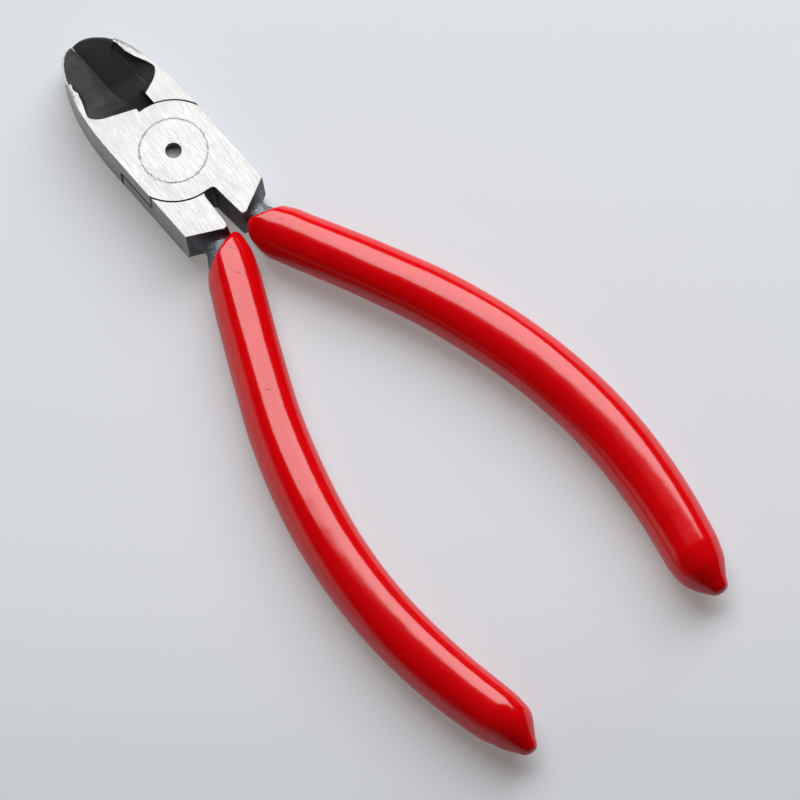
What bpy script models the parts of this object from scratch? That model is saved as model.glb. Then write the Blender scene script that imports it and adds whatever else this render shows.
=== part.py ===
"""A diagonal cutter: two forged steel halves on a lap joint, a flush rivet and two dipped grip coats.

Metres, +Z up. The pivot axis is the Z axis and the tool lies on its back face at z = 0, closed, with its jaw
tips towards +Y. The front half has the jaw on -X and the handle on +X. The rear half is on the other sides.
"""

import math

import bmesh
import bpy
from mathutils import Vector

# Head: one plate, halved in its thickness at the joint.
HEAD_WIDTH = 0.0186
HEAD_THICKNESS = 0.0110
JAW_LENGTH = 0.0310  # from the pivot axis to the tips
JAW_TAPER_LENGTH = 0.0231  # the last stretch of the jaws, where the sides draw in to the tip
FRONT_TAPER_LENGTH = 0.0151  # the front face falls away to the tip along this
FRONT_TAPER = math.radians(5.0)
BACK_TAPER_LENGTH = 0.0111
BACK_TAPER = math.radians(15.0)

# Lap joint.
LAP_SHOULDER = 0.0042  # where the round lap shoulder meets the side of the head, from the pivot axis
LAP_SEAM = 0.0003  # gap round the boss
LAP_CLEARANCE = 0.00006  # between the two lap faces

# Rivet, with a countersunk head at each end.
RIVET_HEAD_RADIUS = 0.00643
RIVET_SHANK_RADIUS = 0.0045
RIVET_HEAD_DEPTH = 0.0020
RIVET_CLEARANCE = 0.00005
CENTRE_HOLE_RADIUS = 0.00152
CENTRE_HOLE_DEPTH = 0.0014

# Cutting edges and the hollow ground round them.
EDGE_HEIGHT = 0.0043  # above the back face
EDGE_LENGTH = 0.0128  # from the tip
EDGE_GAP = 0.0001  # left between the edges when closed
FRONT_BEVEL_SLOPE = 0.80
BACK_BEVEL_SLOPE = 1.20
HOLLOW_SHOULDER = 0.0006  # flat left between the lap boss and the rear rim of the hollow
HOLLOW_SWEEP = 0.40  # the rear rim runs forward this much for each unit outwards
BACK_HOLLOW_SLOPE = 0.90  # rear wall of the back bevel
RIM_WIDTH = 0.00095  # strip of front face left outside the hollow, at the sides
RIM_TIP = 0.0020  # the same at the tip
RIM_OPEN = 0.0041  # the strip stops this far short of the front of the hollow
NOTCH_WIDTH = 0.0033  # relief behind the edges, across the other half
NOTCH_LENGTH = 0.0030

# Tangs and the slot between them.
SLOT_WIDTH = 0.0026  # beside the boss
SLOT_MOUTH = 0.0036  # at the ends of the tangs
SLOT_FILLET = 0.0009
TANG_INNER_LENGTH = 0.0186  # from the pivot axis to the end of the tang, at the slot
TANG_OUTER_LENGTH = 0.0148  # the same at the side of the head

# Handles: a straight run, a long bend, then the drip that hangs from the end of the coat.
HANDLE_ROOT_X = 0.0049
HANDLE_ROOT_Y = -0.0199  # the mouth of the coat
HANDLE_SPLAY = math.radians(24.0)
HANDLE_STRAIGHT = 0.0318
HANDLE_BEND_RADIUS = 0.1071
HANDLE_TOE_IN = math.radians(15.0)  # how far the bend turns past parallel
DRIP_TURN_RADIUS = 0.0140
DRIP_STRAIGHT = 0.0058
DRIP_LENGTH = 0.0090  # stretch where the coat rounds off to its end
DRIP_TIP = 0.00006  # the last ring of the drip lies this far short of the end

# Steel core of the handle.
NECK_WIDTH = 0.0052
NECK_HEIGHT = 0.0072
NECK_RUN = 0.010  # from the mouth of the coat to the full core
CORE_FRONT_RADIUS = 0.00375
CORE_MIDDLE_RADIUS = 0.00420
CORE_REAR_RADIUS = 0.00400
SWELL_START = 0.016  # from the mouth of the coat, as are the next three
SWELL_FULL = 0.058
TAPER_START = 0.072
TAPER_FULL = 0.105
CORE_END_GAP = 0.0105  # from the end of the core to the end of the coat
NECK_STRAIGHT = 0.0016  # the neck stays oval this far ahead of the mouth
NECK_ROOT_LENGTH = 0.0052  # the neck reaches this far ahead of the mouth, into the tang
NECK_ROOT_WIDTH = 0.0078
NECK_ROOT_HEIGHT = 0.0102
ELLIPSE = 2.0  # squareness of an ellipse: more is nearer to a rectangle
NECK_ROOT_SQUARENESS = 5.0
NECK_RELIEF = 0.0001  # the neck's flat side lies this far inside the slot's wall

# Coat.
COAT_WALL = 0.0010
COAT_FIT = 0.0003  # between the core and the bore of the coat
COAT_LIP = 0.0012  # length over which the wall rounds up from its edge
COAT_EDGE = 0.0003  # wall at the very mouth
MOUTH_SLANT = math.radians(-8.0)  # the mouth creeps nearer to the head on the inner side

# Fineness of the facets.
ARC_STEP = math.radians(5.0)
TURNED_STEPS = 72
RING_POINTS = 20
STRAIGHT_RINGS = 4
BEND_RINGS = 9
DRIP_TURN_RINGS = 3
DRIP_RINGS = 9
DRIP_CROWDING = 1.5  # above 1 the drip's rings crowd towards its end
QUARTERS = (0, 0.25, 0.5, 0.75)  # rings along a stretch that swells
LIP_SHARES = (0, 0.08, 0.3, 0.6, 1)  # rings along the lip
RING_SPACING = 0.0005  # rings of the handle are no nearer to each other than this
OVERCUT = 0.002  # how far a cutter stands out of what it cuts
WELD = 1e-6  # points nearer than this are one
SHARP = math.radians(30)  # steeper edges are shaded sharp

HALF_WIDTH = HEAD_WIDTH / 2
MID_HEIGHT = HEAD_THICKNESS / 2
BOSS_RADIUS = math.hypot(HALF_WIDTH, LAP_SHOULDER)
JAW_TAPER_START = JAW_LENGTH - JAW_TAPER_LENGTH
EDGE_REAR = JAW_LENGTH - EDGE_LENGTH
FRONT, REAR = 1, -1  # the side of X that each half's handle is on

for leftover in list(bpy.data.objects):
    bpy.data.objects.remove(leftover, do_unlink=True)


def new_collection(name):
    collection = bpy.data.collections.new(name)
    bpy.context.scene.collection.children.link(collection)
    return collection


TOOL = new_collection("diagonal_cutter")
CUTTERS = new_collection("cutters")
CUTTERS.hide_render = True


def add_mesh(name, mesh, collection=CUTTERS):
    obj = bpy.data.objects.new(name, mesh)
    collection.objects.link(obj)
    if collection is CUTTERS:
        obj.hide_render = True
        obj.display_type = "WIRE"
    return obj


def finish_bmesh(name, bm):
    bmesh.ops.recalc_face_normals(bm, faces=bm.faces)
    mesh = bpy.data.meshes.new(name)
    bm.to_mesh(mesh)
    bm.free()
    return mesh


def slab(name, outline, low, high):
    """A closed outline filled and extruded from z = low to z = high."""
    curve = bpy.data.curves.new(name, "CURVE")
    curve.dimensions = "2D"
    curve.fill_mode = "BOTH"
    curve.extrude = (high - low) / 2
    spline = curve.splines.new("POLY")
    spline.points.add(len(outline) - 1)
    for point, (x, y) in zip(spline.points, outline):
        point.co = (x, y, 0, 1)
    spline.use_cyclic_u = True
    drawn = bpy.data.objects.new(name, curve)
    CUTTERS.objects.link(drawn)
    graph = bpy.context.evaluated_depsgraph_get()
    mesh = bpy.data.meshes.new_from_object(drawn.evaluated_get(graph))
    bpy.data.objects.remove(drawn)
    bm = bmesh.new()
    bm.from_mesh(mesh)
    bmesh.ops.remove_doubles(bm, verts=bm.verts, dist=WELD)
    bmesh.ops.translate(bm, verts=bm.verts, vec=(0, 0, (low + high) / 2))
    bm.to_mesh(mesh)
    bm.free()
    return mesh


def turned(name, profile, collection=CUTTERS):
    """A profile of (radius, height) points, given from the top down, turned about the pivot axis."""
    mesh = bpy.data.meshes.new(name)
    edges = [(i, i + 1) for i in range(len(profile) - 1)]
    mesh.from_pydata([(radius, 0, height) for radius, height in profile], edges, [])
    obj = add_mesh(name, mesh, collection)
    screw = obj.modifiers.new("turn", "SCREW")
    screw.axis = "Z"
    screw.steps = screw.render_steps = TURNED_STEPS
    screw.use_merge_vertices = True
    screw.merge_threshold = WELD
    return obj


def wedge(name, low, high, planes):
    """A box cut by planes. Each plane is a point and the normal of the side that stays."""
    bm = bmesh.new()
    bmesh.ops.create_cube(bm, size=1)
    low, high = Vector(low), Vector(high)
    bmesh.ops.scale(bm, verts=bm.verts, vec=high - low)
    bmesh.ops.translate(bm, verts=bm.verts, vec=(low + high) / 2)
    keep_beyond(bm, planes)
    return add_mesh(name, finish_bmesh(name, bm))


def keep_beyond(bm, planes):
    for point, normal in planes:
        whole = list(bm.verts) + list(bm.edges) + list(bm.faces)
        cut = bmesh.ops.bisect_plane(
            bm, geom=whole, plane_co=point, plane_no=normal, clear_inner=True
        )
        rim = [item for item in cut["geom_cut"] if isinstance(item, bmesh.types.BMEdge)]
        bmesh.ops.edgeloop_fill(bm, edges=rim)


def boolean(target, other, operation="DIFFERENCE"):
    modifier = target.modifiers.new(other.name, "BOOLEAN")
    modifier.operation = operation
    modifier.solver = "EXACT"
    modifier.object = other


def arc(centre_x, centre_y, radius, start, end):
    """Points on a circle, both ends included."""
    steps = max(1, math.ceil(abs(end - start) / ARC_STEP))
    angles = [start + (end - start) * i / steps for i in range(steps + 1)]
    return [(centre_x + radius * math.cos(a), centre_y + radius * math.sin(a)) for a in angles]


def oval(half_width, half_length, start, end):
    """A stretch of the jaws' oval nose. An angle of 0 is at the side and 90 degrees at the tip."""
    circle = arc(0, 0, 1, start, end)
    return [(half_width * x, JAW_TAPER_START + half_length * y) for x, y in circle]


def half_outline():
    """The front half seen from the front, with its jaw on -X: jaw, boss and tang as one outline."""
    gap = EDGE_GAP / 2
    tip_angle = math.acos(-gap / HALF_WIDTH)
    shoulder_angle = math.atan2(LAP_SHOULDER, HALF_WIDTH)
    wall_x = SLOT_WIDTH / 2
    fillet_x = wall_x - SLOT_FILLET
    fillet_y = -math.sqrt((BOSS_RADIUS + SLOT_FILLET) ** 2 - fillet_x**2)
    fillet_angle = math.atan2(fillet_y, fillet_x)
    jaw = oval(HALF_WIDTH, JAW_TAPER_LENGTH, tip_angle, math.pi)
    boss_below = arc(0, 0, BOSS_RADIUS, shoulder_angle - math.pi, fillet_angle)
    fillet = arc(fillet_x, fillet_y, SLOT_FILLET, fillet_angle + math.pi, 0)
    tang = [
        (SLOT_MOUTH / 2, -TANG_INNER_LENGTH),
        (HALF_WIDTH, -TANG_OUTER_LENGTH),
    ]
    boss_above = arc(0, 0, BOSS_RADIUS, shoulder_angle, math.pi / 2 + math.asin(gap / BOSS_RADIUS))
    return jaw + boss_below + fillet[1:] + tang + boss_above


def handle_path():
    """The handle's centre line from the mouth of the coat, as (length along it, x, y, angle off -Y)."""
    bend = HANDLE_SPLAY + HANDLE_TOE_IN
    stretches = [
        (HANDLE_STRAIGHT, 0, STRAIGHT_RINGS),
        (HANDLE_BEND_RADIUS * bend, -bend, BEND_RINGS),
        (DRIP_TURN_RADIUS * HANDLE_TOE_IN, HANDLE_TOE_IN, DRIP_TURN_RINGS),
        (DRIP_STRAIGHT, 0, 1),
    ]
    along, x, y, angle = 0, HANDLE_ROOT_X, HANDLE_ROOT_Y, HANDLE_SPLAY
    stations = [(along, x, y, angle)]
    for length, turn, count in stretches:
        for _ in range(count):
            step = length / count
            middle = angle + turn / count / 2
            half = turn / count / 2
            chord = step * (math.sin(half) / half if half else 1)
            x += chord * math.sin(middle)
            y -= chord * math.cos(middle)
            angle += turn / count
            along += step
            stations.append((along, x, y, angle))
    return stations


HANDLE_PATH = handle_path()
HANDLE_LENGTH = HANDLE_PATH[-1][0]
CORE_LENGTH = HANDLE_LENGTH - CORE_END_GAP


def on_path(along):
    """The point and angle of the centre line at a length along it. Before the mouth it runs straight back."""
    first = HANDLE_PATH[0]
    if along <= 0:
        return (
            first[1] + along * math.sin(first[3]),
            first[2] - along * math.cos(first[3]),
            first[3],
        )
    for here, there in zip(HANDLE_PATH, HANDLE_PATH[1:]):
        if along <= there[0]:
            share = (along - here[0]) / (there[0] - here[0])
            return tuple(between(a, b, share) for a, b in zip(here[1:], there[1:]))
    return HANDLE_PATH[-1][1:]


def ease(share):
    share = min(max(share, 0), 1)
    return share * share * (3 - 2 * share)


def between(start, end, share):
    return start + (end - start) * share


def core_radius(along):
    """Radius of the steel past the neck: the front of the handle, its swollen middle and its rear."""
    swell = (along - SWELL_START) / (SWELL_FULL - SWELL_START)
    taper = (along - TAPER_START) / (TAPER_FULL - TAPER_START)
    radius = between(CORE_FRONT_RADIUS, CORE_MIDDLE_RADIUS, ease(swell))
    return between(radius, CORE_REAR_RADIUS, ease(taper))


def core_section(along):
    """Half width, half height and squareness of the steel: squared root, oval neck, then the round core."""
    root = ease((-along - NECK_STRAIGHT) / (NECK_ROOT_LENGTH - NECK_STRAIGHT))
    radius = core_radius(along)
    full = ease(along / NECK_RUN)
    width = between(between(NECK_WIDTH / 2, radius, full), NECK_ROOT_WIDTH / 2, root)
    height = between(between(NECK_HEIGHT / 2, radius, full), NECK_ROOT_HEIGHT / 2, root)
    return width, height, between(ELLIPSE, NECK_ROOT_SQUARENESS, root)


def coat_section(along):
    """Half width and half height of the coat, with a rounded lip and an end that rounds off to a drip."""
    lip = min(along / COAT_LIP, 1)
    wall = COAT_FIT + between(COAT_EDGE, COAT_WALL, math.sqrt(1 - (1 - lip) ** 2))
    share = min((HANDLE_LENGTH - along) / DRIP_LENGTH, 1)
    blunt = math.sqrt(1 - (1 - share) ** 2)
    pointed = math.sin(share * math.pi / 2)
    drip = (blunt + pointed) / 2
    width, height, _ = core_section(along)
    return (width + wall) * drip, (height + wall) * drip


def ring(bm, side, along, half_width, half_height, squareness=ELLIPSE, facing=None):
    """A superellipse across the centre line, turned to face an angle of its own at an oblique mouth."""
    x, y, angle = on_path(along)
    facing = angle if facing is None else facing
    reach = half_width / math.cos(angle - facing)
    corners = []
    for i in range(RING_POINTS):
        turn = 2 * math.pi * i / RING_POINTS
        across = math.copysign(abs(math.cos(turn)) ** (2 / squareness), math.cos(turn)) * reach
        up = math.copysign(abs(math.sin(turn)) ** (2 / squareness), math.sin(turn)) * half_height
        place = (
            side * (x + across * math.cos(facing)),
            y + across * math.sin(facing),
            MID_HEIGHT + up,
        )
        corners.append(bm.verts.new(place))
    return corners


def loft(name, bm, rings):
    """Rings joined one to the next, with both ends closed."""
    for here, there in zip(rings, rings[1:]):
        for i in range(RING_POINTS):
            j = (i + 1) % RING_POINTS
            bm.faces.new((here[i], here[j], there[j], there[i]))
    bm.faces.new(rings[0])
    bm.faces.new(rings[-1])
    return finish_bmesh(name, bm)


def core_stations(beyond):
    """Lengths along the core, from its root in the tang to the end of the steel or just past it."""
    stations = [-between(NECK_ROOT_LENGTH, NECK_STRAIGHT, share) for share in QUARTERS]
    stations += [-NECK_STRAIGHT]
    stations += [NECK_RUN * share for share in QUARTERS]
    stations += [station[0] for station in HANDLE_PATH[1:]] + [NECK_RUN]
    kept = []
    for along in sorted(stations):
        clear_before = not kept or along - kept[-1] > RING_SPACING
        if clear_before and along < CORE_LENGTH - RING_SPACING:
            kept.append(along)
    return kept + [CORE_LENGTH + beyond]


def core_loft(name, side, clearance):
    """The steel of the handle, or with a clearance the bore that holds it."""
    bm = bmesh.new()
    rings = []
    for along in core_stations(clearance):
        width, height, squareness = core_section(along)
        rings.append(ring(bm, side, along, width + clearance, height + clearance, squareness))
    return add_mesh(name, loft(name, bm, rings))


def handle_core(name, side):
    """The neck, which grows out of the tang, and the steel inside the coat."""
    core = core_loft(name, side, 0)
    root_y = HANDLE_ROOT_Y + NECK_ROOT_LENGTH
    taper = (SLOT_MOUTH - SLOT_WIDTH) / 2 / (TANG_INNER_LENGTH - BOSS_RADIUS)
    wall_x = SLOT_WIDTH / 2 + NECK_RELIEF
    slot_side = wedge(
        name + "_slot_side",
        (-HALF_WIDTH, HANDLE_ROOT_Y, -OVERCUT),
        (HALF_WIDTH, root_y + OVERCUT, HEAD_THICKNESS + OVERCUT),
        [((side * wall_x, -BOSS_RADIUS, 0), (-side, -taper, 0))],
    )
    boolean(core, slot_side)
    return core


def coat_stations():
    lip = [COAT_LIP * share for share in LIP_SHARES]
    shares = [(i / DRIP_RINGS) ** DRIP_CROWDING for i in range(1, DRIP_RINGS + 1)]
    drip = [HANDLE_LENGTH - DRIP_LENGTH * share for share in shares]
    first = COAT_LIP + RING_SPACING
    last = HANDLE_LENGTH - DRIP_LENGTH - RING_SPACING
    body = [along for along in core_stations(0) if first < along < last]
    return sorted(lip + body + drip + [HANDLE_LENGTH - DRIP_TIP])


def grip_coat(name, side):
    """The dipped coat. Its mouth is nearly square to the tool's length, as the dip leaves it."""
    bm = bmesh.new()
    rings = []
    for along in coat_stations():
        width, height = coat_section(along)
        facing = between(MOUTH_SLANT, on_path(along)[2], ease(along / NECK_RUN))
        rings.append(ring(bm, side, along, width, height, facing=facing))
    coat = add_mesh(name, loft(name, bm, rings), TOOL)
    boolean(coat, core_loft(name + "_bore", side, COAT_FIT))
    return coat


def hollow(name, side):
    """The hollow on the front of a jaw, down to the cutting edge, inside the strip of rim."""
    rear_rim = BOSS_RADIUS + LAP_SEAM + HOLLOW_SHOULDER
    rise = (HEAD_THICKNESS - EDGE_HEIGHT) / (EDGE_REAR - rear_rim)
    rim_length = JAW_TAPER_LENGTH - RIM_TIP
    rim_angle = math.asin(1 - RIM_OPEN / rim_length)
    out = HALF_WIDTH + OVERCUT
    beyond = JAW_LENGTH + OVERCUT
    plan = oval(HALF_WIDTH - RIM_WIDTH, rim_length, 0, rim_angle)
    plan += [(out, plan[-1][1]), (out, beyond), (-OVERCUT, beyond), (-OVERCUT, JAW_TAPER_START)]
    plan = [(-side * x, y) for x, y in plan]
    bm = bmesh.new()
    bm.from_mesh(slab(name, plan, 0, HEAD_THICKNESS + OVERCUT))
    bevel = ((0, 0, EDGE_HEIGHT), (side * FRONT_BEVEL_SLOPE, 0, 1))
    rear_wall = ((0, EDGE_REAR, EDGE_HEIGHT), (side * rise * HOLLOW_SWEEP, rise, 1))
    keep_beyond(bm, [bevel, rear_wall])
    return add_mesh(name, finish_bmesh(name, bm))


def jaw_cutters(name, side):
    """What grinding takes off a jaw: hollow, tapers to the tip, back bevel and relief behind the edge."""
    out = HALF_WIDTH + OVERCUT
    beyond = JAW_LENGTH + OVERCUT
    front_start = JAW_LENGTH - FRONT_TAPER_LENGTH
    back_start = JAW_LENGTH - BACK_TAPER_LENGTH
    front = wedge(
        name + "_front_taper",
        (-out, front_start - OVERCUT, MID_HEIGHT),
        (out, beyond, HEAD_THICKNESS + OVERCUT),
        [((0, front_start, HEAD_THICKNESS), (0, math.sin(FRONT_TAPER), math.cos(FRONT_TAPER)))],
    )
    back = wedge(
        name + "_back_taper",
        (-out, back_start - OVERCUT, -OVERCUT),
        (out, beyond, MID_HEIGHT),
        [((0, back_start, 0), (0, math.sin(BACK_TAPER), -math.cos(BACK_TAPER)))],
    )
    low, high = sorted((side * OVERCUT, -side * out))
    bevel = wedge(
        name + "_back_bevel",
        (low, BOSS_RADIUS, -OVERCUT),
        (high, beyond, EDGE_HEIGHT + OVERCUT),
        [
            ((0, 0, EDGE_HEIGHT), (side * BACK_BEVEL_SLOPE, 0, -1)),
            ((0, EDGE_REAR, EDGE_HEIGHT), (0, BACK_HOLLOW_SLOPE, -1)),
        ],
    )
    low, high = sorted((side * OVERCUT, -side * NOTCH_WIDTH))
    below, above = (-OVERCUT, MID_HEIGHT) if side == FRONT else (MID_HEIGHT, HEAD_THICKNESS + OVERCUT)
    notch = wedge(
        name + "_notch",
        (low, 0, below),
        (high, BOSS_RADIUS + LAP_SEAM + NOTCH_LENGTH, above),
        [],
    )
    return [hollow(name + "_hollow", side), front, back, bevel, notch]


def lap_recess(name, side):
    """Room for the other half's boss, half the head deep."""
    face = MID_HEIGHT + side * LAP_CLEARANCE / 2
    low, high = sorted((face, MID_HEIGHT - side * (MID_HEIGHT + OVERCUT)))
    radius = BOSS_RADIUS + LAP_SEAM
    return turned(name, [(0, high), (radius, high), (radius, low), (0, low)])


def rivet_profile(clearance, above, below):
    head = RIVET_HEAD_RADIUS + clearance
    shank = RIVET_SHANK_RADIUS + clearance
    top = HEAD_THICKNESS
    outline = [(head, top), (shank, top - RIVET_HEAD_DEPTH), (shank, RIVET_HEAD_DEPTH), (head, 0)]
    return above + outline + below


def steel_half(name, side):
    """One forged half: plate outline, lap recess, rivet bore and ground jaw, joined to its handle core."""
    outline = [(side * x, y) for x, y in half_outline()]
    half = add_mesh(name, slab(name, outline, 0, HEAD_THICKNESS), TOOL)
    head = RIVET_HEAD_RADIUS + RIVET_CLEARANCE
    high, low = HEAD_THICKNESS + OVERCUT, -OVERCUT
    bore = rivet_profile(RIVET_CLEARANCE, [(0, high), (head, high)], [(head, low), (0, low)])
    boolean(half, lap_recess(name + "_lap", side))
    boolean(half, turned(name + "_rivet_bore", bore))
    for cutter in jaw_cutters(name, side):
        boolean(half, cutter)
    boolean(half, handle_core(name + "_core", side), "UNION")
    return half


def pivot_rivet(name):
    floor = HEAD_THICKNESS - CENTRE_HOLE_DEPTH
    hole = [(0, floor), (CENTRE_HOLE_RADIUS, floor), (CENTRE_HOLE_RADIUS, HEAD_THICKNESS)]
    return turned(name, rivet_profile(0, hole, [(0, 0)]), TOOL)


def finish(obj, name, colour, roughness, metallic):
    material = bpy.data.materials.new(name)
    material.use_nodes = True
    shader = material.node_tree.nodes["Principled BSDF"]
    shader.inputs["Base Color"].default_value = (*colour, 1)
    shader.inputs["Roughness"].default_value = roughness
    shader.inputs["Metallic"].default_value = metallic
    obj.data.materials.append(material)
    obj.data.shade_smooth()
    obj.data.set_sharp_from_angle(angle=SHARP)


GROUND_STEEL = (0.80, 0.80, 0.79)
RIVET_STEEL = (0.74, 0.74, 0.73)
RED_VINYL = (0.58, 0.004, 0.008)

front_half = steel_half("front_half", FRONT)
rear_half = steel_half("rear_half", REAR)
rivet = pivot_rivet("pivot_rivet")
front_coat = grip_coat("front_grip_coat", FRONT)
rear_coat = grip_coat("rear_grip_coat", REAR)

finish(front_half, "front_steel", GROUND_STEEL, 0.35, 1.0)
finish(rear_half, "rear_steel", GROUND_STEEL, 0.35, 1.0)
finish(rivet, "rivet_steel", RIVET_STEEL, 0.35, 1.0)
finish(front_coat, "front_vinyl", RED_VINYL, 0.25, 0.0)
finish(rear_coat, "rear_vinyl", RED_VINYL, 0.25, 0.0)

# The front half and its coat swing together about the pivot axis.
pivot = bpy.data.objects.new("pivot_axis", None)
TOOL.objects.link(pivot)
front_half.parent = pivot
front_coat.parent = pivot
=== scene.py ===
"""A diagonal cutter, closed and lying on its back face on a pale table.

Metres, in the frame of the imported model: the pivot axis is Z, the jaw tips point to +Y, and the table is
z = 0. The front half has its jaw on -X and its handle on +X, and the rear half the other way round.
"""

import math

import bpy
from mathutils import Matrix, Vector, noise


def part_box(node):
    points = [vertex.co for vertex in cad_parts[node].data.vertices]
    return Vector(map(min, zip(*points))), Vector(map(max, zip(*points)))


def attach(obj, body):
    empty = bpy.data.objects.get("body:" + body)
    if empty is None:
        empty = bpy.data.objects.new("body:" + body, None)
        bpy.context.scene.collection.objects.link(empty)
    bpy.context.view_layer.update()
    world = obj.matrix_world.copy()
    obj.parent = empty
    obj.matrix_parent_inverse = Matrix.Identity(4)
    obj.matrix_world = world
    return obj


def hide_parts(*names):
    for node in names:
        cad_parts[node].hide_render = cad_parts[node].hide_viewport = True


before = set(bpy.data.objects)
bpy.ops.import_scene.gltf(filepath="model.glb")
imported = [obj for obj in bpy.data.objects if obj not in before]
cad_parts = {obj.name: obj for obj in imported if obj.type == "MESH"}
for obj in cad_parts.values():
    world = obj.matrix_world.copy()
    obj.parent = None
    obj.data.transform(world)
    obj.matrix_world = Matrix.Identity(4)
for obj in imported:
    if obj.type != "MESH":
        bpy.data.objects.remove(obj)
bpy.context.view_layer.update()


# The two halves of the tool. Each is one drop forging of tool steel, halved in thickness at the lap joint.
# The faces and the outline are ground bright. The jaws' hollows, the slot and the necks stay dark.
HEAD_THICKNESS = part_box("pivot_rivet")[1].z
RIVET_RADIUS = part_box("pivot_rivet")[1].x
JAW_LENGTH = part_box("front_half")[1].y
HALF_WIDTH = -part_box("front_half")[0].x
MID_HEIGHT = HEAD_THICKNESS / 2
NOSE_LENGTH = 0.0231
NOSE_START = JAW_LENGTH - NOSE_LENGTH
LAP_SHOULDER = 0.0042
BOSS_RADIUS = math.hypot(HALF_WIDTH, LAP_SHOULDER)
LAP_SEAM = 0.00005  # round the boss
LAP_CLEARANCE = 0.00006  # between the flat faces of the lap
FRONT_TAPER = (JAW_LENGTH - 0.0151, math.radians(5))  # where it starts, and its slope
BACK_TAPER = (JAW_LENGTH - 0.0111, math.radians(15))
EDGE_GAP = 0.000002
EDGE_HEIGHT = 0.0043
EDGE_REAR = JAW_LENGTH - 0.0128
FACET_SLOPE = 0.80
BACK_FACET_SLOPE = 1.20
BACK_FACET_REAR_SLOPE = 0.90
REAR_RIM = BOSS_RADIUS + 0.00084
REAR_RISE = (HEAD_THICKNESS - EDGE_HEIGHT) / (EDGE_REAR - REAR_RIM)
REAR_SWEEP = 0.40
NOTCH_WIDTH = 0.0033
NOTCH_LENGTH = 0.0032
NOTCH_FLOOR = 0.0042  # from the middle of the head
SLOT_WIDTH = 0.0026
SLOT_MOUTH = 0.0036
SLOT_FILLET = 0.0009
TANG_INNER = -0.0186
TANG_OUTER = -0.0148
TANG_CORNER = 0.0008
TANG_DRAFT = 0.0007  # the forging stands out this much at its parting line
TANG_DRAFT_HEIGHT = 0.0030
RIVET_SHANK = 0.0045
RIVET_HEAD_DEPTH = 0.0020
BORE_CLEARANCE = 0.00003
OVERCUT = 0.002  # how far a cutting shape stands out past what it cuts
ARC_STEP = math.radians(2.5)
CORNER_STEPS = 8
LATHE_STEPS = 144
SAME_PLACE = 0.00001  # points closer than this are one
SLACK = 0.0001  # faces and edges this near to a shape are on it
FRONT, REAR = 1, -1  # the side of X that each half's handle is on


def arc(x, y, radius, start, end):
    """Points along an arc about a centre."""
    steps = max(1, math.ceil(abs(end - start) / ARC_STEP))
    turns = [start + (end - start) * i / steps for i in range(steps + 1)]
    return [(x + radius * math.cos(t), y + radius * math.sin(t)) for t in turns]


def rounded(before, corner, after, radius):
    """A corner of an outline as a small arc."""
    before, corner, after = Vector(before), Vector(corner), Vector(after)
    back, on = (before - corner).normalized(), (after - corner).normalized()
    half = back.angle(on) / 2
    centre = corner + (back + on).normalized() * radius / math.sin(half)
    first = corner + back * radius / math.tan(half) - centre
    last = corner + on * radius / math.tan(half) - centre
    start = math.atan2(first.y, first.x)
    sweep = (math.atan2(last.y, last.x) - start + math.pi) % (2 * math.pi) - math.pi
    turns = [start + sweep * i / CORNER_STEPS for i in range(CORNER_STEPS + 1)]
    return [(centre.x + radius * math.cos(t), centre.y + radius * math.sin(t)) for t in turns]


def half_outline():
    """The front half from the front, with its jaw on -X: nose, boss, slot wall and tang."""
    gap = EDGE_GAP / 2
    nose = arc(0, 0, 1, math.acos(-gap / HALF_WIDTH), math.pi)
    nose = [(HALF_WIDTH * x, NOSE_START + NOSE_LENGTH * y) for x, y in nose]
    shoulder = math.atan2(LAP_SHOULDER, HALF_WIDTH)
    fillet_x = SLOT_WIDTH / 2 - SLOT_FILLET
    fillet_y = -math.sqrt((BOSS_RADIUS + SLOT_FILLET) ** 2 - fillet_x**2)
    fillet_turn = math.atan2(fillet_y, fillet_x)
    boss_below = arc(0, 0, BOSS_RADIUS, shoulder - math.pi, fillet_turn)
    fillet = arc(fillet_x, fillet_y, SLOT_FILLET, fillet_turn + math.pi, 0)
    inner, outer = (SLOT_MOUTH / 2, TANG_INNER), (HALF_WIDTH, TANG_OUTER)
    corner = rounded(fillet[-1], inner, outer, TANG_CORNER)
    boss_above = arc(0, 0, BOSS_RADIUS, shoulder, math.pi / 2 + math.asin(gap / BOSS_RADIUS))
    return nose + boss_below + fillet[1:] + corner + [outer] + boss_above


def pick(piece):
    """Makes a piece the only one selected, and the active one."""
    bpy.ops.object.select_all(action="DESELECT")
    piece.select_set(True)
    bpy.context.view_layer.objects.active = piece


def edit(piece):
    """Opens a piece in edit mode with all of it selected."""
    pick(piece)
    bpy.ops.object.mode_set(mode="EDIT")
    bpy.ops.mesh.select_all(action="SELECT")


def extrude(height):
    """Draws the selected faces of the open piece out upward."""
    bpy.ops.mesh.extrude_region_move(TRANSFORM_OT_translate={"value": (0, 0, height)})


def close_outward():
    """Turns all faces of the open piece outward and leaves edit mode."""
    bpy.ops.mesh.select_all(action="SELECT")
    bpy.ops.mesh.normals_make_consistent(inside=False)
    bpy.ops.object.mode_set(mode="OBJECT")


def plate(name, outline, low, high):
    """A disc drawn out to an outline, then extruded to its thickness."""
    bpy.ops.mesh.primitive_circle_add(vertices=len(outline), radius=HALF_WIDTH, fill_type="NGON")
    piece = bpy.context.object
    piece.name = name
    for vertex, (x, y) in zip(piece.data.vertices, outline):
        vertex.co = (x, y, low)
    edit(piece)
    extrude(high - low)
    close_outward()
    return piece


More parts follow.
